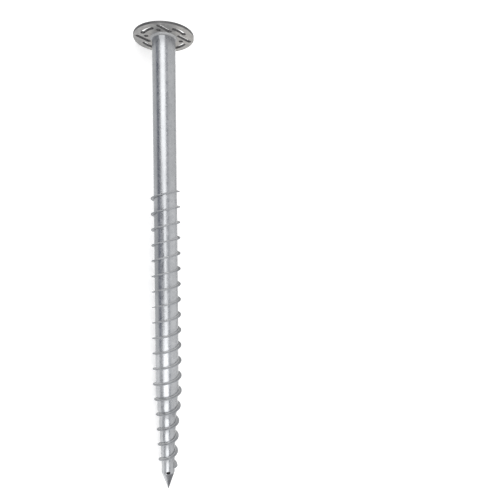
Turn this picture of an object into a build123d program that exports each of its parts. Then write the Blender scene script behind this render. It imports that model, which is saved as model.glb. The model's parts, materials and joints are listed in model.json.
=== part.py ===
from build123d import *
import os
from math import atan, ceil, cos, degrees, pi, radians, sin, sqrt

# A foundation ground screw: a round slotted head plate welded on a steel tube that is swaged
# down to a closed point, with a right-handed helical flight welded round its lower part.
# It lies on a level floor with the head plate towards -X and the point towards +X, so it
# rests on the plate's rim and on the last full-width turn of the flight.
#
# Local frame: Z is the screw's axis, pointing out of the head plate, with zero on the plate's
# outer face. "down" is a distance from that face towards the point. X is up and Y runs along
# the straight slots once the screw has been laid down.

seat_gap = 0.1                  # clearance left between pieces that follow a shaped surface

# Shaft tube. The swaged end is given as (distance up from the point, inset from the tube's face).
tube_diameter = 76.0
tube_wall = 3.0
screw_length = 1500.0
swage_outline = [
    (330.0, 0.0), (320.0, 1.4), (310.0, 3.3), (274.0, 4.4), (263.0, 6.7), (253.0, 9.0),
    (217.0, 9.6), (207.0, 10.9), (167.0, 12.1), (156.0, 13.7), (116.0, 14.7), (106.0, 15.6),
    (70.0, 16.5), (59.0, 16.2),
]
cone_length = 55.0
cone_step = 1.2                 # ledge between the last swaged ring and the cone
point_radius = 1.0
hollow_point_up = 12.0          # where the closed hollow inside the cone ends, up from the point
drain_width = 13.0
drain_height = 9.0
drain_above_cone = 9.0          # from the top of the cone up to the middle of the opening
drain_angle = -42.0             # round the axis, from local X

# Head plate
plate_diameter = 195.0
plate_thickness = 8.0
plate_edge_round = 0.8
centre_hole_diameter = 20.0
bolt_hole_diameter = 14.0
inner_hole_clearance = 0.5      # between the inner bolt holes and the inside of the tube
inner_hole_count = 4
arc_slot_width = 14.0
arc_slot_rim_margin = 17.5
arc_slot_half_angle = 16.7      # from the slot's middle to the centre of each round end
arc_slot_count = 4
slot_width = 13.0
slot_length = 60.0
slot_rim_margin = 7.6           # between a straight slot's outer end and the rim
slot_arc_web = 10.5             # between a straight slot and the arc slot beside it
outer_hole_inset = 20.0         # from the straight slot's centre line towards the plate's centre
outer_hole_shift = 5.0          # from the straight slot's middle towards the rim

# Flight strip
flight_thickness = 3.0
flight_height = 10.0
flight_turn_height = 51.2       # distance along the shaft taken by one turn
flight_start_down = 499.9
flight_end_up = 73.9
flight_start_angle = 54.3       # round the axis, from local X
flight_end_height = 4.0         # height left where each end of the strip is cut on the slant
flight_end_slant = 0.05         # turns taken by that slant
flight_segments_per_turn = 2
flight_steps_per_turn = 12
tangent_step = 0.001            # share of a segment over which its end directions are taken

# Welds
head_weld_leg = 6.0
head_weld_bulge = 0.9
flight_weld_leg = 2.5
flight_weld_inset = 0.02        # turns by which the bead stops short of the strip's ends

# Nut under the centre hole
nut_across_flats = 24.0
nut_height = 14.8
nut_thread_diameter = 16.0
nut_thread_depth = 1.0
nut_corner_trim = 1.2

# Sizes that follow
tube_radius = tube_diameter / 2
hollow_radius = tube_radius - tube_wall
plate_radius = plate_diameter / 2
plate_back = -plate_thickness
flight_radius = tube_radius + flight_height
flight_turns = (screw_length - flight_end_up - flight_start_down) / flight_turn_height
inner_ring_radius = hollow_radius - inner_hole_clearance - bolt_hole_diameter / 2
arc_slot_ring_radius = plate_radius - arc_slot_rim_margin - arc_slot_width / 2
slot_x = arc_slot_ring_radius - arc_slot_width / 2 - slot_arc_web - slot_width / 2
slot_end_radius = plate_radius - slot_rim_margin - slot_width / 2
slot_y = sqrt(slot_end_radius ** 2 - slot_x ** 2) - (slot_length - slot_width) / 2
outer_hole_x = slot_x - outer_hole_inset
outer_hole_y = slot_y + outer_hole_shift
cone_top_down = screw_length - cone_length
nut_bore_radius = nut_thread_diameter / 2 - nut_thread_depth


def polar(radius, angle, z=0.0):
    return (radius * cos(radians(angle)), radius * sin(radians(angle)), z)


def smooth_curve(points, leaving, arriving):
    """A curve through the points that leaves the first and reaches the last along two directions."""
    ends = [Vector(leaving).normalized(), Vector(arriving).normalized()]
    return Spline(*points, tangents=ends, tangent_scalars=[1.0, 1.0])


# Outline of the swaged end as one smooth curve in the local XZ plane, and the outer radius
# of the shaft at any distance down, read from that same curve.
swage_points = [(tube_radius - inset, 0.0, up - screw_length) for up, inset in swage_outline]
swage_end_radius, _, swage_end = swage_points[-1]
cone_top_radius = swage_end_radius - cone_step
swage_curve = smooth_curve(swage_points, (0, 0, -1), (0, 0, -1))
curve_samples = 400
swage_table = [swage_curve @ (i / curve_samples) for i in range(curve_samples + 1)]
swage_table = [(-p.Z, p.X) for p in swage_table]


def shaft_radius(down):
    if down <= swage_table[0][0]:
        return tube_radius
    for (d0, r0), (d1, r1) in zip(swage_table, swage_table[1:]):
        if down <= d1:
            return r0 + (r1 - r0) * (down - d0) / (d1 - d0)
    return swage_table[-1][1]


def make_plate():
    blank = Cylinder(plate_radius, plate_thickness, align=(Align.CENTER, Align.CENTER, Align.MAX))
    blank = fillet(blank.edges().filter_by(GeomType.CIRCLE), plate_edge_round)
    cuts = [Circle(centre_hole_diameter / 2)]
    for k in range(inner_hole_count):
        x, y, _ = polar(inner_ring_radius, 360 / inner_hole_count * k)
        cuts.append(Pos(x, y) * Circle(bolt_hole_diameter / 2))
    for side in (-1, 1):
        for end in (-1, 1):
            hole_at = Pos(side * outer_hole_x, end * outer_hole_y)
            cuts.append(hole_at * Circle(bolt_hole_diameter / 2))
            slot_at = Pos(side * slot_x, end * slot_y) * Rot(0, 0, 90)
            cuts.append(slot_at * SlotOverall(slot_length, slot_width))
    for k in range(arc_slot_count):
        mid = 360 / arc_slot_count * k
        path = CenterArc(
            (0, 0), arc_slot_ring_radius, mid - arc_slot_half_angle, 2 * arc_slot_half_angle
        )
        cuts.append(SlotArc(path, arc_slot_width))
    for shape in cuts:
        blank -= extrude(Pos(0, 0, plate_back) * shape, plate_thickness)
    return blank


def make_tube():
    outer = [
        Line((tube_radius, 0, plate_back), (tube_radius, 0, swage_points[0][2])),
        swage_curve,
        Polyline(
            swage_points[-1],
            (cone_top_radius, 0, -cone_top_down),
            (point_radius, 0, -screw_length),
            (0, 0, -screw_length),
            (0, 0, hollow_point_up - screw_length),
            (cone_top_radius - tube_wall, 0, -cone_top_down),
            (swage_end_radius - tube_wall, 0, swage_end),
        ),
        smooth_curve(
            [(x - tube_wall, y, z) for x, y, z in reversed(swage_points)], (0, 0, 1), (0, 0, 1)
        ),
        Polyline(
            (hollow_radius, 0, swage_points[0][2]),
            (hollow_radius, 0, plate_back),
            (tube_radius, 0, plate_back),
        ),
    ]
    section = make_face(Wire([edge for line in outer for edge in line.edges()]))
    tube = revolve(section, Axis.Z, 360)
    # the drain opening is a flat oval cut through one side of the last pressed ring
    drain = extrude(Rot(0, 0, drain_angle) * Pos(0, 0, drain_above_cone - cone_top_down) * (
        Plane.YZ * SlotOverall(drain_width, drain_height)), tube_radius,
        dir=Vector(*polar(1, drain_angle)))
    return tube - drain


def helix_point(turn, height, lift):
    """A point on the flight: turns from its start, height off the shaft and lift along it."""
    down = flight_start_down + turn * flight_turn_height - lift
    radius = shaft_radius(down) + seat_gap + height
    return Vector(*polar(radius, flight_start_angle - 360 * turn, -down))


def helical_bar(stations, corners):
    """A solid swept round the shaft. corners(turn) gives each corner's (height, lift)."""
    sides = range(len(corners(stations[0])))

    def corner_at(turn, k):
        return helix_point(turn, *corners(turn)[k % len(sides)])

    def corner_curve(start, end, k):
        count = max(1, ceil((end - start) * flight_steps_per_turn))
        points = [corner_at(start + (end - start) * i / count, k) for i in range(count + 1)]
        nudge = (end - start) * tangent_step
        leaving = corner_at(start + nudge, k) - corner_at(start, k)
        arriving = corner_at(end, k) - corner_at(end - nudge, k)
        return smooth_curve(points, leaving, arriving)

    faces = []
    for start, end in zip(stations, stations[1:]):
        curves = [corner_curve(start, end, k) for k in sides]
        for k in sides:
            faces.append(Face.make_surface_from_curves(curves[k - 1], curves[k]))
    for turn in (stations[0], stations[-1]):
        ring = [corner_at(turn, k) for k in sides]
        faces.append(make_face(Polyline(*ring, ring[0])))
    return Solid(Shell(faces))


def stations_between(first, last):
    count = ceil((last - first) * flight_segments_per_turn)
    return [first + (last - first) * i / count for i in range(count + 1)]


def strip_height(turn):
    run = min(turn, flight_turns - turn) / flight_end_slant
    return flight_end_height + (flight_height - flight_end_height) * max(0.0, min(1.0, run))


def make_flight():
    half = flight_thickness / 2
    body = stations_between(flight_end_slant, flight_turns - flight_end_slant)
    return helical_bar([0.0, *body, flight_turns], lambda t: [
        (0.0, -half), (strip_height(t) - seat_gap, -half),
        (strip_height(t) - seat_gap, half), (0.0, half)])


def make_flight_weld():
    low = flight_thickness / 2 + seat_gap
    stations = stations_between(flight_weld_inset, flight_turns - flight_weld_inset)
    return helical_bar(stations, lambda t: [
        (0.0, low), (flight_weld_leg, low), (0.0, low + flight_weld_leg)])


def make_head_weld():
    corner = (tube_radius, 0, plate_back)
    toe = (tube_radius + head_weld_leg, 0, plate_back)
    foot = (tube_radius, 0, plate_back - head_weld_leg)
    bulge = head_weld_leg / 2 + head_weld_bulge
    crown = (tube_radius + bulge, 0, plate_back - bulge)
    outline = Wire([*Polyline(foot, corner, toe).edges(), ThreePointArc(toe, crown, foot)])
    return revolve(make_face(outline), Axis.Z, 360)


def make_nut():
    body = extrude(RegularPolygon(nut_across_flats / 2, 6, major_radius=False), -nut_height)
    trim_radius = nut_across_flats / 2
    corner_radius = trim_radius / cos(pi / 6)
    slope = (corner_radius - trim_radius) + nut_corner_trim
    barrel = Cylinder(corner_radius, nut_height, align=(Align.CENTER, Align.CENTER, Align.MAX))
    barrel = chamfer(barrel.edges().filter_by(GeomType.CIRCLE), nut_corner_trim, slope)
    bore = Cylinder(nut_bore_radius, nut_height, align=(Align.CENTER, Align.CENTER, Align.MAX))
    nut = (body & barrel) - bore
    mouth = [e for e in nut.edges().filter_by(GeomType.CIRCLE)
             if abs(e.radius - nut_bore_radius) < seat_gap]
    nut = chamfer(mouth, nut_thread_depth)
    return Pos(0, 0, plate_back) * nut


# How the screw lies: the floor touches the plate's rim and the flight's last full-width turn
# where it passes under the shaft.
turns_to_underside = ((flight_start_angle - 180) % 360) / 360
full_turns = int((-swage_points[0][2] - flight_start_down) / flight_turn_height
                 - turns_to_underside)
contact_down = flight_start_down + (turns_to_underside + full_turns) * flight_turn_height
rim_down = plate_thickness - plate_edge_round
drop = plate_radius - flight_radius
lie = atan(drop / (contact_down + flight_thickness / 2 - rim_down))
rim_low = (plate_radius - plate_edge_round) * cos(lie) + rim_down * sin(lie) + plate_edge_round
point_end = screw_length * cos(lie) + point_radius * sin(lie)
head_end = plate_edge_round * (1 - cos(lie)) + (plate_radius - plate_edge_round) * sin(lie)
middle = (point_end - head_end) / 2
axis_out = Vector(-cos(lie), 0, sin(lie))
laid = Location(Plane(
    origin=(-middle, 0, rim_low), x_dir=(sin(lie), 0, cos(lie)), z_dir=axis_out))

nodes = {
    "flange_plate": make_plate(),
    "shaft_tube": make_tube(),
    "thread_flight": make_flight(),
    "centre_nut": make_nut(),
    "flange_weld": make_head_weld(),
    "flight_weld": make_flight_weld(),
}

os.makedirs("parts", exist_ok=True)
for name, solid in nodes.items():
    placed = laid * solid
    export_step(placed, f"parts/{name}.step")
    box = placed.bounding_box()
    print(name, "volume", round(placed.volume), "box", box.min, box.max)
print("lie", degrees(lie), "contact down", contact_down, "rim low", rim_low, "middle", middle)
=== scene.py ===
# %% [markdown]
# # A galvanised ground screw
# The object is a steel post that is screwed into soil instead of pouring a concrete footing.
# It has six pieces: a round head plate full of slots, a tube pressed down to a point, a steel
# strip wound round the tube, a nut behind the plate's centre hole, and two weld beads.
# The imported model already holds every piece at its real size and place. This lesson dresses it:
# it gives the plate and the tube a zinc finish, and builds finer meshes for the pieces whose
# small shapes catch the light. After that it sets up a pale studio, which matters as much as
# the finish, because a metal mostly shows what stands round it.

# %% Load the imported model
import json
from bisect import bisect
from math import ceil, cos, degrees, pi, radians, sin, tan

import bmesh
import bpy
from mathutils import Matrix, Quaternion, Vector


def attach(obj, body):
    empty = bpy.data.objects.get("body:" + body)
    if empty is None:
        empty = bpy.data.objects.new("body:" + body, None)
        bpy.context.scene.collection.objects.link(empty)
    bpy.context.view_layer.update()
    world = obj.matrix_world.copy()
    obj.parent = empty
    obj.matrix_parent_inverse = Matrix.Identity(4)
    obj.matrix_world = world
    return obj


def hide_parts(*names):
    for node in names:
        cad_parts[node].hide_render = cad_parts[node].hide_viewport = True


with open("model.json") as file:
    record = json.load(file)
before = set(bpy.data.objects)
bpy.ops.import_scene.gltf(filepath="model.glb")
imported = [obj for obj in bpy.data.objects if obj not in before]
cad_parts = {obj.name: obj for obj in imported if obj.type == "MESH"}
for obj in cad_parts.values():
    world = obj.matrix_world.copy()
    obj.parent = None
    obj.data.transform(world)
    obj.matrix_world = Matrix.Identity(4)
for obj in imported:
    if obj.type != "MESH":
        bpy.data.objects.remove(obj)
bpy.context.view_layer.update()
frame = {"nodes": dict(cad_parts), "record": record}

mm = 0.001
print("nodes", sorted(frame["nodes"]))

# %% [markdown]
# ## Finding the screw's own axis
# The screw lies on the floor, a little head-up, so its axis isn't one of the scene's axes. It is
# far easier to say where something is by three numbers of the screw's own: how far down the
# shaft from the plate's face, how far out from the axis, and at what angle round it.
# One could read these off the screen and type them in, but they would be wrong as soon as the
# screw lay differently. The model's record states the centre hole with its place and direction,
# and that is enough to work them out.

# %% A helper that places points round the axis
hole = next(m for m in frame["record"]["mounts"] if m["name"] == "centre_hole")
axis_out = Vector(hole["axis"]).normalized()
axis_side = Vector((0, 1, 0))
axis_up = axis_side.cross(axis_out)
plate_thickness = hole["dims"]["length_mm"] * mm
face_centre = Vector(hole["pos_m"]) + axis_out * plate_thickness / 2


def at(radius, angle, down):
    """The point this far from the axis, this many degrees from upright, this far down."""
    turned = axis_up * cos(radians(angle)) + axis_side * sin(radians(angle))
    return face_centre + turned * radius - axis_out * down


print("plate face at", face_centre, "axis", axis_out)

# %% [markdown]
# ## Reading the shaft's outline
# The strip and its weld sit on the tube, and the tube narrows towards the point in several
# pressed steps. A copy of the steps' sizes would drift from the model. The tube's mesh knows
# that outline best: each point of its outer skin gives a distance down and a radius, and what
# lies between two of them is a straight run. Points of the inner skin face the axis, so the
# direction of their normal tells them apart.

# %% Outline of the shaft
tube_mesh = frame["nodes"]["shaft_tube"].data
skin = {}
for vertex in tube_mesh.vertices:
    arm = vertex.co - face_centre
    down = -arm.dot(axis_out)
    outward = arm + axis_out * down
    if vertex.normal.dot(outward) > 0:
        key = round(down, 4)
        skin[key] = max(outward.length, skin.get(key, 0))
outline_down = sorted(skin)
outline_radius = [skin[down] for down in outline_down]


def shaft_radius(down):
    """The tube's outer radius this far down from the plate's face."""
    after = bisect(outline_down, down)
    d0, d1 = outline_down[after - 1], outline_down[after]
    r0, r1 = outline_radius[after - 1], outline_radius[after]
    return r0 + (r1 - r0) * (down - d0) / (d1 - d0)


for down in (100, 900, 1200, 1250, 1300, 1400, 1440):
    print("radius in mm", down, "down:", round(shaft_radius(down * mm) / mm, 2))

# %% [markdown]
# ## The zinc finish
# Every piece was dipped in molten zinc after welding. The coat is a satin silver metal that is
# never even: it has cloudy patches, crystals a few millimetres across, runs along the way the
# zinc drained, and a very fine grain. A picture of zinc wrapped round the tube would stretch on
# the cone and show a seam. Layers of noise have no seam, so the finish is one metallic shader
# whose colour, roughness and bump come from noise.
# Noise needs coordinates. Here they are the screw's own: moved to the plate's face, turned to
# the shaft, and divided by the size of one patch. So a run follows the shaft, and each layer's
# size is given in millimetres.

# %% Helpers for shader nodes
to_own_frame = Matrix((axis_up, axis_side, axis_out)).transposed().to_euler()


def add_node(tree, kind, settings=None, inputs=None):
    """A shader node with its settings, and each input set to a value or linked to a socket."""
    node = tree.nodes.new("ShaderNode" + kind)
    for name, value in (settings or {}).items():
        setattr(node, name, value)
    for name, value in (inputs or {}).items():
        if isinstance(value, bpy.types.NodeSocket):
            tree.links.new(value, node.inputs[name])
        else:
            node.inputs[name].default_value = value
    return node


def patch_coordinates(tree, across, along):
    """Coordinates in which one patch of the finish is one unit, round and along the shaft."""
    place = add_node(tree, "TexCoord")
    return add_node(tree, "Mapping", {"vector_type": "TEXTURE"}, {
        "Vector": place.outputs["Object"], "Location": face_centre,
        "Rotation": to_own_frame, "Scale": (across, across, along)}).outputs["Vector"]


print("the finish is turned by", [round(degrees(turn), 2) for turn in to_own_frame], "degrees")

# %% [markdown]
# ## Clouds and crystals
# Two kinds of layer are enough. A cloud is soft noise, and drawn out along the shaft it becomes
# a run. A crystal is one flat tone with a border, as zinc makes where it freezes outwards from
# many seeds at once. Voronoi cells do just that, and a little noise added to their coordinates
# bends the borders, which would otherwise be straight lines.

# %% Helpers for the layers of a finish
border_bend = 0.35
border_scale = 1.7              # bends in one crystal's width


def cloud(tree, across, along, detail=2.0):
    """Soft noise from 0 to 1 whose patches have that size."""
    return add_node(tree, "TexNoise", inputs={
        "Vector": patch_coordinates(tree, across, along), "Scale": 1.0,
        "Detail": detail}).outputs["Fac"]


def crystals(tree, size):
    """A random value from 0 to 1 for each crystal of the zinc, with uneven borders."""
    spot = patch_coordinates(tree, size, size)
    wander = add_node(tree, "TexNoise", inputs={
        "Vector": spot, "Scale": border_scale, "Detail": 3.0})
    bent = add_node(tree, "MixRGB", {"blend_type": "LINEAR_LIGHT"}, {
        "Fac": border_bend, "Color1": spot, "Color2": wander.outputs["Color"]})
    cells = add_node(tree, "TexVoronoi", inputs={
        "Vector": bent.outputs["Color"], "Scale": 1.0, "Randomness": 1.0})
    return add_node(tree, "SeparateColor", inputs={
        "Color": cells.outputs["Color"]}).outputs["Red"]


def sum_of(tree, start, *layers):
    """start plus each (layer, weight), where a layer of 0.5 adds nothing."""
    total = start
    for layer, weight in layers:
        total = add_node(tree, "Math", {"operation": "MULTIPLY_ADD"}, {
            0: layer, 1: weight, 2: add_node(tree, "Math", {"operation": "SUBTRACT"}, {
                0: total, 1: weight / 2}).outputs[0]}).outputs[0]
    return total


crystal_size = 9 * mm
plain_tube = 100 * mm            # down the shaft, where the tube is still plain
tube_girth = 2 * pi * shaft_radius(plain_tube)
print("crystals round the tube:", round(tube_girth / crystal_size))

# %% [markdown]
# ## Two slow changes of tone
# The coat's colour is made a shade darker at the head and at the point than in the middle.
# A colour ramp along the shaft does that.
# A wall that was cut or sheared is rougher and duller than a rolled face, and its colour is
# darkened further as painted shade, for the shade in the slots and on the rims. One could mark
# those faces by hand. Asking how squarely a face looks along the axis is quicker: the plate's
# two faces do, the walls of its slots and its rim don't.

# %% Helpers for the slow changes
shaft_length = 1.5
wall_up_to, flat_from = 0.3, 0.75       # how squarely a wall and a flat face look along the axis
coat_along = ((0.0, 0.84), (0.3, 0.86), (0.42, 0.97), (0.72, 1.0), (0.84, 0.90), (1.0, 0.82))


def toned(tree, coat, tone, factor=1.0):
    """The coat's colour multiplied by the tone, as far as factor says."""
    return add_node(tree, "Mix", {"data_type": "RGBA", "blend_type": "MULTIPLY"}, {
        0: factor, 6: coat, 7: tone}).outputs[2]


def tone_down_shaft(tree):
    """The coat's level from the head plate, 0, to the point, 1."""
    down = add_node(tree, "SeparateXYZ", inputs={
        0: patch_coordinates(tree, shaft_length, -shaft_length)}).outputs["Z"]
    along = add_node(tree, "ValToRGB", inputs={"Fac": down})
    stops = along.color_ramp.elements
    for place, level in coat_along:
        stops.new(place).color = (level, level, level, 1)
    stops.remove(stops[0])
    stops.remove(stops[-1])
    return along.outputs["Color"]


def is_wall(tree):
    """1 on a face that looks sideways from the axis, and 0 on one that looks along it."""
    facing = add_node(tree, "VectorMath", {"operation": "DOT_PRODUCT"}, {
        0: add_node(tree, "NewGeometry").outputs["Normal"], 1: axis_out}).outputs["Value"]
    flat = add_node(tree, "Math", {"operation": "ABSOLUTE"}, {0: facing}).outputs[0]
    return add_node(tree, "MapRange", inputs={
        "Value": flat, "From Min": wall_up_to, "From Max": flat_from,
        "To Min": 1.0, "To Max": 0.0}).outputs[0]


print("brightest coat", round(max(coat_along, key=lambda stop: stop[1])[0] * shaft_length, 2),
      "m down the shaft")

# %% [markdown]
# ## One finish with choices
# The plate is rolled sheet, the tube is drawn, the beads are rough, and yet all of them left the
# same bath. So there is one recipe, and each piece gets its own tone, roughness and crystal
# size. A fresh coat acts as a bare metal. Where it has gone matt, a lower metal value lets it
# scatter light as a grey paint does.

# %% The recipe for zinc
plain_gloss = 0.3               # of the part that isn't bare metal


def zinc(name, pale, dull, roughness, crystal=crystal_size, runs=0.3, grain=0.05 * mm,
         lump=0.06 * mm, cut_dull_and_shade=None, cut_rough=0.0, metal=1.0, blotch=0.0):
    """A zinc coat between two colours, with a darker tone (partly painted shade) and a roughness
    for cut walls if asked.
    """
    material = bpy.data.materials.new(name)
    material.use_nodes = True
    tree = material.node_tree
    shader = tree.nodes["Principled BSDF"]
    shader.inputs["Metallic"].default_value = metal
    shader.inputs["Specular IOR Level"].default_value = plain_gloss
    patches = cloud(tree, 30 * mm, 60 * mm, 3.0)
    streaks = cloud(tree, 7 * mm, 90 * mm, 4.0)
    flowers = crystals(tree, crystal)
    fine = cloud(tree, 1.2 * mm, 1.2 * mm, 2.0)
    swell = cloud(tree, 9 * mm, 14 * mm, 2.0)
    blotches = cloud(tree, 11 * mm, 11 * mm, 3.0)
    shade = sum_of(tree, 0.5, (patches, 0.7), (streaks, runs), (flowers, 0.3), (fine, 0.35),
                   (blotches, blotch))
    coat = add_node(tree, "Mix", {"data_type": "RGBA"}, {
        0: shade, 6: (*dull, 1.0), 7: (*pale, 1.0)}).outputs[2]
    coat = toned(tree, coat, tone_down_shaft(tree))
    rough = sum_of(tree, roughness, (flowers, 0.12), (streaks, 0.10), (patches, -0.10))
    if cut_dull_and_shade:
        wall = is_wall(tree)
        # Cut walls: a duller coat, and painted shade that darkens their colour.
        coat = toned(tree, coat, (*cut_dull_and_shade, 1.0), wall)
        rough = sum_of(tree, rough, (wall, cut_rough))
    tree.links.new(coat, shader.inputs["Base Color"])
    tree.links.new(rough, shader.inputs["Roughness"])
    coarse = add_node(tree, "Bump", inputs={"Height": swell, "Distance": lump, "Strength": 1.0})
    bump = add_node(tree, "Bump", inputs={
        "Height": fine, "Distance": grain, "Strength": 1.0, "Normal": coarse.outputs["Normal"]})
    tree.links.new(bump.outputs["Normal"], shader.inputs["Normal"])
    print("made finish", name, "with", len(tree.nodes), "nodes")
    return material


def dress(piece, material, slot):
    """Gives a piece its finish, and prints the record's slot that the finish belongs to."""
    piece.data.materials.clear()
    piece.data.materials.append(material)
    print("dressed", piece.name, "as", slot)


# %% [markdown]
# ## The head plate
# The plate takes the load of what is built on the screw. It is cut from 8 mm sheet, with a
# centre hole, bolt holes and long slots, so that a bracket can be bolted on at any angle. Its
# shape in the imported model is right as it is, so it stays and only gets a finish: a warm, rather
# matt grey with blotches about a centimetre across, and slot walls and a rim that are darkened,
# partly as duller cut edges and partly as painted shade.

# %% Finish of the head plate
# Slot walls and rim are darkened to 0.28: duller cut edges and painted shade.
plate_zinc = zinc("plate_zinc", (0.62, 0.612, 0.60), (0.34, 0.335, 0.328), 0.46, crystal=6 * mm,
                  runs=0.1, cut_dull_and_shade=(0.28, 0.28, 0.29), metal=0.6, blotch=1.1)
dress(frame["nodes"]["flange_plate"], plate_zinc, "zinc_plate")

# %% [markdown]
# ## The shaft tube
# The tube is 76 mm wide and 3 mm thick. It is plain down to the first pressed ring, then
# narrows in steps, and ends in a cone that is pressed shut, with a drain hole above it. The
# model's own mesh has all of that. Drawn tube is the smoothest piece here, so its coat is a
# cool, bright metal with low bumps, and its mirror bands stay straight down the shaft.

# %% Finish of the shaft tube
tube_zinc = zinc("tube_zinc", (0.58, 0.59, 0.605), (0.385, 0.395, 0.41), 0.29,
                 grain=0.035 * mm, lump=0.035 * mm)
dress(frame["nodes"]["shaft_tube"], tube_zinc, "zinc_tube")

# %% [markdown]
# ## The thread flight
# The flight is a flat steel strip, 3 mm by 10 mm, bent on edge into a coil and welded to the
# tube. It pulls the screw down as the screw turns. A curve with a bevel would twist on such a
# coil and cut its corners, and a screw modifier can't follow a cone in steps. So the strip is
# built section by section: the same rounded outline is placed at each step round the shaft, and
# each is joined to the one before. The weld beads and the nut are built in that way too, so the
# joining is a helper of its own.

# %% A helper that skins a row of sections
sharp_from = 35                 # degrees between two faces that stay a crisp edge


def skin_sections(name, sections, closed=False):
    """A piece whose sections, rings with as many points each, are joined in a row."""
    shell = bmesh.new()
    rings = [[shell.verts.new(point) for point in section] for section in sections]
    pairs = list(zip(rings, rings[1:]))
    if closed:
        pairs.append((rings[-1], rings[0]))
    else:
        shell.faces.new(rings[0])
        shell.faces.new(rings[-1])
    for here, ahead in pairs:
        for k in range(len(here)):
            shell.faces.new((here[k - 1], here[k], ahead[k], ahead[k - 1]))
    bmesh.ops.recalc_face_normals(shell, faces=shell.faces)
    mesh = bpy.data.meshes.new(name)
    shell.to_mesh(mesh)
    shell.free()
    mesh.shade_smooth()
    mesh.set_sharp_from_angle(angle=radians(sharp_from))
    piece = bpy.data.objects.new(name, mesh)
    bpy.context.scene.collection.objects.link(piece)
    print(name, "has", len(sections), "sections and", len(mesh.polygons), "faces")
    return piece


def steps_between(first, last, per_turn):
    """Even steps from first to last, at least as many as per_turn asks."""
    count = ceil((last - first) * per_turn)
    return [first + (last - first) * k / count for k in range(count + 1)]


print("quarter turns in four steps", steps_between(0, 0.25, 16))

# %% [markdown]
# ## Where the strip runs
# A place on the strip is three numbers too: turns from its start, height off the shaft, and lift
# towards the plate. The pitch turns the first into a distance down and an angle. Both ends of
# the strip are cut on a slant, so that the leading one slides past a stone.

# %% The flight's path
strip_thickness = 3 * mm
strip_height = 10 * mm
strip_end_height = 4 * mm
turn_height = 51.2 * mm
flight_start = 499.9 * mm       # down the shaft
flight_end = 1426.1 * mm
flight_start_angle = 54.3
end_slant = 0.05                # turns taken by the slanted cut at each end
flight_turns = (flight_end - flight_start) / turn_height


def on_flight(turn, height, lift):
    """A point on the flight: turns from its start, height off the shaft, lift to the plate."""
    down = flight_start + turn * turn_height - lift
    return at(shaft_radius(down) + height, flight_start_angle - 360 * turn, down)


def height_left(turn):
    """The strip's height there, which is less on the slanted ends."""
    run = max(0, min(1, min(turn, flight_turns - turn) / end_slant))
    return strip_end_height + (strip_height - strip_end_height) * run


print("the flight makes", round(flight_turns, 2), "turns")

# %% [markdown]
# ## The strip itself
# The strip's outer corners are rounded by the bath, and that thin round is what draws a bright
# line along its edge. Its foot reaches a little into the tube's zinc, so no gap shows where the
# tube's own mesh has flat faces. The rim was sheared and is rougher and duller than the rolled
# sides, and its colour is darkened a little more as painted shade. Which faces are rim is the
# same question of which way a face looks as on the plate's slots.

# %% Thread flight
strip_round = 0.8 * mm
strip_seat = 0.3 * mm           # how deep its foot reaches into the zinc on the shaft
flight_steps = 96               # in one turn
corner_steps = 4


def strip_outline(height):
    """The strip's section as (height, lift), with its two outer corners rounded."""
    half = strip_thickness / 2
    outline = [(-strip_seat, -half)]
    for side in (-1, 1):
        for step in range(corner_steps + 1):
            share = step / corner_steps if side > 0 else 1 - step / corner_steps
            turned = pi / 2 * share
            outline.append((height - strip_round * (1 - cos(turned)),
                            side * (half - strip_round * (1 - sin(turned)))))
    outline.append((-strip_seat, half))
    return outline


flight = skin_sections("thread_strip", [
    [on_flight(turn, *corner) for corner in strip_outline(height_left(turn))]
    for turn in steps_between(0, flight_turns, flight_steps)])
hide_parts("thread_flight")
# Its sheared rim is darkened a little: a duller edge and painted shade.
flight_zinc = zinc("flight_zinc", (0.50, 0.51, 0.525), (0.33, 0.34, 0.355), 0.48, crystal=5 * mm,
                   cut_dull_and_shade=(0.86, 0.87, 0.88), cut_rough=0.20, metal=0.45)
dress(flight, flight_zinc, "zinc_flight")
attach(flight, "root")

# %% [markdown]
# ## The weld finish
# A weld bead is laid drop by drop, and each drop leaves a small scallop. Those scallops are
# shaped in the mesh, because bumps of that size show in the outline and would be lost if only
# the shader made them. The finish is a little paler and grainier than the strip's, as zinc
# grows thicker on a rough bead.

# %% Weld finish
shallow = 0.14                  # share of the bead's size that is missing between two drops


def ripple(place, pitch):
    """How full the bead is at that place along it: 1 on a drop, less between two."""
    return 1 - shallow + shallow * abs(sin(pi * place / pitch))


weld_zinc = zinc("weld_zinc", (0.66, 0.665, 0.67), (0.42, 0.425, 0.43), 0.38, crystal=4 * mm,
                 grain=0.08 * mm, metal=0.6)
print("a bead between two drops is", 1 - shallow, "of its size")

# %% [markdown]
# ## The bead along the flight
# The strip is welded on its side that faces the head plate, in one long run. The bead is a
# fillet: it fills the corner between the strip and the tube, with a slightly domed face. It
# follows the strip's own path, so it needs no path of its own.

# %% Bead along the flight
bead_leg = 2.5 * mm
bead_inset = 0.02               # turns by which it stops short of the strip's ends
bead_pitch = 4.2 * mm
bead_steps = 180                # in one turn
bead_round = 1.4                # above 1, the fillet's face draws in between its legs
bead_dome = 0.14                # share by which its middle is fuller again
metres_a_turn = 0.24            # about the length of one turn of the bead


def bead_outline(size):
    """A fillet in the corner between strip and shaft, as (height, lift), slightly domed."""
    low = strip_thickness / 2
    outline = [(-strip_seat, low - strip_seat)]
    for step in range(corner_steps + 1):
        turned = pi / 2 * step / corner_steps
        fullness = 1 + bead_dome * sin(2 * turned)
        outline.append((size * cos(turned) ** bead_round * fullness,
                        low + size * sin(turned) ** bead_round * fullness))
    return outline


bead = skin_sections("flight_bead", [
    [on_flight(turn, *corner)
     for corner in bead_outline(bead_leg * ripple(turn * metres_a_turn, bead_pitch))]
    for turn in steps_between(bead_inset, flight_turns - bead_inset, bead_steps)])
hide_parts("flight_weld")
dress(bead, weld_zinc, "zinc_weld")
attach(bead, "root")

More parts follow.
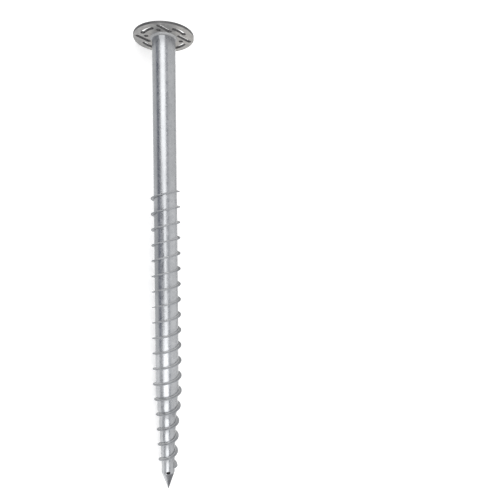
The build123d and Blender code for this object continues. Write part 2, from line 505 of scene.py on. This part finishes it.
# %% [markdown]
# ## The bead under the head plate
# This bead joins the plate to the tube all the way round, so its row of sections is closed into
# a ring. It carries the whole load, so it is larger, and its drops are finer.

# %% Bead round the tube's top
head_leg = 6 * mm
head_bulge = 0.9 * mm
head_steps = 720
head_drops = 84
head_shallow = 0.07
head_face_steps = 8             # across the bead's face
head_bulge_share = 0.7          # of the bulge, both outwards and down
tube_radius = shaft_radius(plain_tube)


def head_section(angle):
    """The ring bead's section at that angle, from the tube's wall out to the plate."""
    drop = abs(sin(radians(angle) * head_drops / 2))
    size = head_leg * (1 - head_shallow + head_shallow * drop)
    section = [at(tube_radius - strip_seat, angle, plate_thickness - strip_seat)]
    for step in range(head_face_steps + 1):
        share = step / head_face_steps
        bulge = head_bulge_share * head_bulge * sin(pi * share)
        section.append(at(tube_radius + size * (1 - share) + bulge, angle,
                          plate_thickness + size * share + bulge))
    return section


head_bead = skin_sections("flange_bead", [
    head_section(360 * k / head_steps) for k in range(head_steps)], closed=True)
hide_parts("flange_weld")
dress(head_bead, weld_zinc, "zinc_weld")
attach(head_bead, "root")

# %% [markdown]
# ## The centre nut
# An M16 nut is held under the plate, inside the tube, so that a threaded rod or a hook can be
# screwed in from above. Only its bore shows, through the centre hole. The nut is a ring as well:
# each of its sections is one half-plane, down the outside and up through the bore. Six flats
# come from the distance to a flat at that angle, and the thread from a tooth whose level shifts
# by one pitch in a turn, so that the ring closes on itself.

# %% Centre nut
nut_flats = 24 * mm
nut_height = 14.8 * mm
thread_radius = 8 * mm
thread_depth = 1 * mm
thread_pitch = 2 * mm
tooth_slope, tooth_root = 4.4, 0.6      # how steep its sides are, and how wide its flat root is
corner_trim = 1.2 * mm
trim_share = 0.3                # of the trim, inwards from the flats at the nut's two faces
nut_steps = 96
bore_levels = 60


def bore_radius(level, angle):
    """The thread's radius at that level, opened wide at both of the bore's mouths."""
    phase = (level / thread_pitch - angle / 360) % 1
    tooth = thread_depth * min(1, max(0, tooth_slope * abs(phase - 0.5) - tooth_root))
    mouth = max(0, thread_depth - min(level, nut_height - level))
    return thread_radius - thread_depth + max(tooth, mouth)


def nut_section(angle):
    """One half-plane of the nut: down its outside, then up through the thread."""
    to_flat = (angle + 30) % 60 - 30
    flat = nut_flats / 2 / cos(radians(to_flat))
    corner = nut_flats / 2 / cos(pi / 6)
    trimmed = nut_flats / 2 - corner_trim * trim_share
    section = []
    for level, widest in ((0, trimmed), (corner_trim, corner),
                          (nut_height - corner_trim, corner), (nut_height, trimmed)):
        section.append(at(min(flat, widest), angle, plate_thickness + level))
    for k in range(bore_levels + 1):
        level = nut_height * (1 - k / bore_levels)
        section.append(at(bore_radius(level, angle), angle, plate_thickness + level))
    return section


nut = skin_sections("threaded_nut", [
    nut_section(360 * k / nut_steps) for k in range(nut_steps)], closed=True)
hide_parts("centre_nut")
nut_zinc = zinc("nut_zinc", (0.56, 0.56, 0.55), (0.40, 0.40, 0.39), 0.30, crystal=4 * mm)
dress(nut, nut_zinc, "zinc_nut")
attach(nut, "root")

# %% [markdown]
# ## The floor
# The screw lies on a plain pale floor that goes on beyond the view, with its own soft shadow.
# To make the floor white with more lamps would wash out the zinc. So the floor glows a little,
# and only for rays that see it directly: from the camera, in a mirror or through glass. The
# light that it scatters onto the screw stays that of a plain pale floor, and the shadow stays.
# Far from the screw, where the lamps give out, the glow rises a little to keep the tone even.

# %% Floor
floor_size = 60.0
floor_white = 0.85
floor_glow = 0.42               # near the screw
far_glow = 0.48                 # beyond the lamps' reach
glow_from, glow_to = 1.0, 3.5   # metres from the screw


def seen_directly(tree):
    """1 for rays from the camera, from gloss and through glass, and 0 for scattered light."""
    path = add_node(tree, "LightPath")
    either = add_node(tree, "Math", {"operation": "MAXIMUM"}, {
        0: path.outputs["Is Camera Ray"], 1: path.outputs["Is Glossy Ray"]})
    return add_node(tree, "Math", {"operation": "MAXIMUM"}, {
        0: either.outputs[0], 1: path.outputs["Is Transmission Ray"]}).outputs[0]


def flat_sheet(name, corners):
    """A flat sheet of the studio, which isn't part of the screw."""
    sheet = bmesh.new()
    sheet.faces.new([sheet.verts.new(corner) for corner in corners])
    mesh = bpy.data.meshes.new(name)
    sheet.to_mesh(mesh)
    sheet.free()
    made = bpy.data.objects.new(name, mesh)
    bpy.context.scene.collection.objects.link(made)
    return made


def matt_glow(name, colour, glow):
    """A material without any gloss that gives off light of its own."""
    paint = bpy.data.materials.new(name)
    paint.use_nodes = True
    shader = paint.node_tree.nodes["Principled BSDF"]
    shader.inputs["Base Color"].default_value = (*colour, 1)
    shader.inputs["Roughness"].default_value = 1.0
    shader.inputs["Specular IOR Level"].default_value = 0.0
    shader.inputs["Emission Color"].default_value = (*glow, 1)
    shader.inputs["Emission Strength"].default_value = 1.0
    return paint


half = floor_size / 2
floor = flat_sheet("floor", [
    (-half, -half, 0), (half, -half, 0), (half, half, 0), (-half, half, 0)])
floor_paint = matt_glow("floor_paint", (floor_white, floor_white, floor_white), (1, 1, 1))
tree = floor_paint.node_tree
spot = add_node(tree, "TexCoord").outputs["Object"]
distance = add_node(tree, "VectorMath", {"operation": "LENGTH"}, {0: spot}).outputs["Value"]
spread = add_node(tree, "MapRange", {"interpolation_type": "SMOOTHSTEP"}, {
    "Value": distance, "From Min": glow_from, "From Max": glow_to,
    "To Min": floor_glow, "To Max": far_glow}).outputs["Result"]
glow = add_node(tree, "Math", {"operation": "MULTIPLY"}, {0: seen_directly(tree), 1: spread})
tree.links.new(glow.outputs[0], tree.nodes["Principled BSDF"].inputs["Emission Strength"])
floor.data.materials.append(floor_paint)
print("the floor is", floor_size, "m wide and glows by", floor_glow, "to", far_glow)

# %% [markdown]
# ## The world
# What isn't floor is the world. The camera sees it plain white. A mirror sees a studio whose
# walls are grey near the floor and white overhead, because zinc between a white floor and a
# white room would have no shape at all. For scattered light the world is a little dimmer.

# %% World
world_level = 0.85              # for scattered light, where what is seen directly is 1
wall_tones = ((0.0, 0.42, 0.42, 0.43), (0.12, 0.62, 0.62, 0.62), (0.4, 1.0, 1.0, 1.0))

world = bpy.data.worlds.new("studio")
bpy.context.scene.world = world
world.use_nodes = True
background = world.node_tree.nodes["Background"]
tree = world.node_tree
height = add_node(tree, "SeparateXYZ", inputs={
    0: add_node(tree, "TexCoord").outputs["Generated"]}).outputs["Z"]
walls = add_node(tree, "ValToRGB", inputs={"Fac": height})
stops = walls.color_ramp.elements
stops[0].color = (*wall_tones[0][1:], 1)
for place, *tone in wall_tones[1:]:
    stops.new(place).color = (*tone, 1)
backdrop = add_node(tree, "Mix", {"data_type": "RGBA"}, {
    0: add_node(tree, "LightPath").outputs["Is Camera Ray"],
    6: walls.outputs["Color"], 7: (1, 1, 1, 1)})
level = add_node(tree, "MapRange", inputs={
    "Value": seen_directly(tree), "To Min": world_level, "To Max": 1.0})
tree.links.new(backdrop.outputs[2], background.inputs["Color"])
tree.links.new(level.outputs["Result"], background.inputs["Strength"])
print("world with", len(stops), "tones from the floor up")

# %% [markdown]
# ## The soft boxes
# The long bright band down the tube is a soft box mirrored in it. A round tube squeezes all that
# stands beside it into narrow bands, so a lamp's two edges are given as angles round the shaft:
# they set where the band starts and ends, and the lamp's ends set how far it runs. There are
# three boxes in a row, because the band is wide at the head, narrow halfway and wide again at
# the taper. An area lamp's power is spread over its face, so the power asked for grows with the
# face, and the glow stays the one that is written.

# %% Soft boxes
box_distance = 2.2
soft_boxes = (                  # name, reach down the shaft, lowest and highest angle, glow
    ("box_by_head", -1.6, 0.28, -80.0, -33.5, 1.5),
    ("box_between", 0.28, 1.16, -58.0, -42.5, 1.15),
    ("box_by_point", 1.40, 3.0, -81.0, -31.0, 1.6),
)


def soft_box(name, start, end, low, high, glow):
    """A soft box that faces the shaft from between two angles round it."""
    lamp = bpy.data.lights.new(name, "AREA")
    lamp.shape = "RECTANGLE"
    lamp.size = 2 * box_distance * tan(radians(high - low) / 2)
    lamp.size_y = end - start
    lamp.energy = pi * lamp.size * lamp.size_y * glow
    made = bpy.data.objects.new(name, lamp)
    middle = (low + high) / 2
    away = (at(1, middle, 0) - at(0, 0, 0)).normalized()
    made.matrix_world = Matrix.Translation(at(box_distance, middle, (start + end) / 2)) @ Matrix(
        (axis_out.cross(away), axis_out, away)).transposed().to_4x4()
    made.visible_camera = False
    bpy.context.scene.collection.objects.link(made)
    print(name, "is", round(lamp.size, 2), "by", round(lamp.size_y, 2), "m")


for settings in soft_boxes:
    soft_box(*settings)

# %% [markdown]
# ## Cards on the floor
# In a studio, grey and white cards are laid beside shiny metal, just out of the view, to give
# it dark edges and an even tone. These cards do the same. Each is a flat sheet with one tone,
# which shows only in reflections: the camera doesn't see it, and it neither casts a shadow nor
# lights anything. Those on the near side draw the dark band and the shaded edge of the tube.
# Those on the far side give the strip's outer edges their tone.

# %% Cards on the floor
card_lift = 0.001               # above the floor, in metres
near_head, near_thread = -0.185, -0.12


def card(name, corners, grey):
    """A card that shows only in reflections, as the grey that it is given."""
    made = flat_sheet(name, corners)
    made.data.materials.append(matt_glow(name, (0, 0, 0), grey))
    made.visible_camera = False
    made.visible_shadow = False
    made.visible_diffuse = False
    print(name, "has a tone of", grey[1])
    return made


def floor_card(name, corners, grey):
    """A card that lies on the floor, from its corners seen from above."""
    return card(name, [(x, y, card_lift) for x, y in corners], grey)


def oblong_card(name, x_span, y_span, grey):
    """A card on the floor with square corners."""
    (left, right), (front, back) = x_span, y_span
    return floor_card(name, [(left, front), (right, front), (right, back), (left, back)], grey)


floor_card("card_on_floor", [
    (-3.0, near_head), (-0.75, near_head), (0.1, near_thread), (0.30, near_thread),
    (0.55, -1.5), (-3.0, -1.5)], (0.285, 0.30, 0.35))
floor_card("card_by_point", [
    (0.30, near_thread), (0.75, -0.09), (3.0, -0.09), (3.0, -1.5), (0.55, -1.5)],
    (0.62, 0.63, 0.65))
floor_card("card_beside_tube", [
    (-3.0, -0.015), (-3.0, near_head), (-0.75, near_head), (-0.2, -0.143), (-0.2, -0.015)],
    (0.86, 0.87, 0.88))
floor_card("card_beside_thread", [
    (-0.2, -0.015), (-0.2, -0.143), (0.1, near_thread), (0.1, -0.015)], (0.68, 0.69, 0.70))
oblong_card("card_beside_taper", (0.1, 0.30), (near_thread, -0.015), (0.80, 0.81, 0.82))
oblong_card("card_behind", (-0.74, -0.2), (0.02, 0.45), (1.15, 1.13, 1.1))
oblong_card("card_behind_thread", (-0.25, -0.06), (0.09, 0.4), (0.24, 0.24, 0.23))
oblong_card("card_behind_middle", (-0.06, 0.12), (0.09, 0.4), (0.42, 0.42, 0.41))
oblong_card("card_behind_taper", (0.12, 0.30), (0.09, 0.4), (0.40, 0.40, 0.39))
oblong_card("card_behind_end", (0.30, 0.77), (0.0, 0.3), (1.15, 1.14, 1.12))
floor_card("card_beside_point", [
    (0.79, 0.03), (1.6, -0.26), (1.6, 1.2), (0.79, 0.4)], (0.32, 0.32, 0.33))

# %% [markdown]
# ## Standing cards
# Three more cards stand or hang. One beyond the point gives the cone a darker side. The other
# two hang along the shaft, two metres out, one on each side of the soft boxes, and shape the
# edges of the bright band. As with the soft boxes, angles round the shaft place them best.

# %% Standing cards
card_distance = 2.0


def hanging_card(name, angles, reach, grey):
    """A card along the shaft, between two angles round it and two distances down it."""
    (low, high), (start, end) = angles, reach
    return card(name, [
        at(card_distance, low, start), at(card_distance, low, end),
        at(card_distance, high, end), at(card_distance, high, start)], grey)


card("card_beyond_point", [
    (1.6, -0.36, card_lift), (1.6, 1.2, card_lift), (1.6, 1.2, 0.9), (1.6, -0.36, 0.9)],
    (0.32, 0.32, 0.33))
hanging_card("card_between", (-90, -62), (0.3, 1.4), (0.30, 0.31, 0.34))
hanging_card("card_above", (-29, -7), (-2.5, 4.0), (0.62, 0.63, 0.66))

# %% [markdown]
# ## Collars under the head plate
# Near its top the tube mirrors the underside of the plate, which is rather dark, and the bright
# band would end short of the weld. A collar is a ring-shaped card just under the plate that
# takes its place in those reflections. From above it would show through the slots, so it only
# shows on the side that faces down the shaft. A sheet's back is told from its front by
# Backfacing, and there the collar is clear.

# %% Collars
collar_gap = 0.6 * mm
collar_inner, collar_outer = 44 * mm, 92 * mm
collar_steps = 12


def collar(name, start, end, grey):
    """A card just under the head plate, between two angles, that shows from below only."""
    level = plate_thickness + collar_gap
    turns = [start + (end - start) * k / collar_steps for k in range(collar_steps + 1)]
    made = card(name, [at(collar_inner, turned, level) for turned in turns] + [
        at(collar_outer, turned, level) for turned in reversed(turns)], grey)
    tree = made.data.materials[0].node_tree
    front = add_node(tree, "Math", {"operation": "SUBTRACT"}, {
        0: 1.0, 1: add_node(tree, "NewGeometry").outputs["Backfacing"]})
    tree.links.new(front.outputs[0], tree.nodes["Principled BSDF"].inputs["Alpha"])


collar("collar_bright", -74, -36, (1.5, 1.5, 1.5))
collar("collar_left", -150, -74, (0.40, 0.41, 0.43))
collar("collar_right", -36, 75, (0.45, 0.45, 0.46))

# %% [markdown]
# ## The camera
# The screw is shown upright, head at the top, though it lies down. So the camera looks at it
# from above and one side, and rolls with the shaft. Its place and the point that it looks at are
# given round the shaft as well, as distance out, angle and distance down, and a small roll
# does the rest. The lens is fairly wide, which opens the plate's ellipse at the head.

# %% Camera
lens = 29.529
lens_shift = 0.056
camera_out, camera_round, camera_down = 1.3686, -43.007, 0.6482
aim_out, aim_round, aim_down = 0.1855, 39.2, 0.6961
camera_roll = 0.322

camera_place = at(camera_out, camera_round, camera_down)
forward = (at(aim_out, aim_round, aim_down) - camera_place).normalized()
upward = (axis_out - forward * axis_out.dot(forward)).normalized()
upward.rotate(Quaternion(forward, radians(camera_roll)))
eye = bpy.data.cameras.new("eye")
eye.lens = lens
eye.sensor_width = 36
eye.shift_x = lens_shift
camera = bpy.data.objects.new("camera", eye)
camera.matrix_world = Matrix.Translation(camera_place) @ Matrix(
    (forward.cross(upward), upward, -forward)).transposed().to_4x4()
bpy.context.scene.collection.objects.link(camera)
bpy.context.scene.camera = camera
bpy.context.scene.view_settings.view_transform = "Standard"
print("camera at", camera_place)
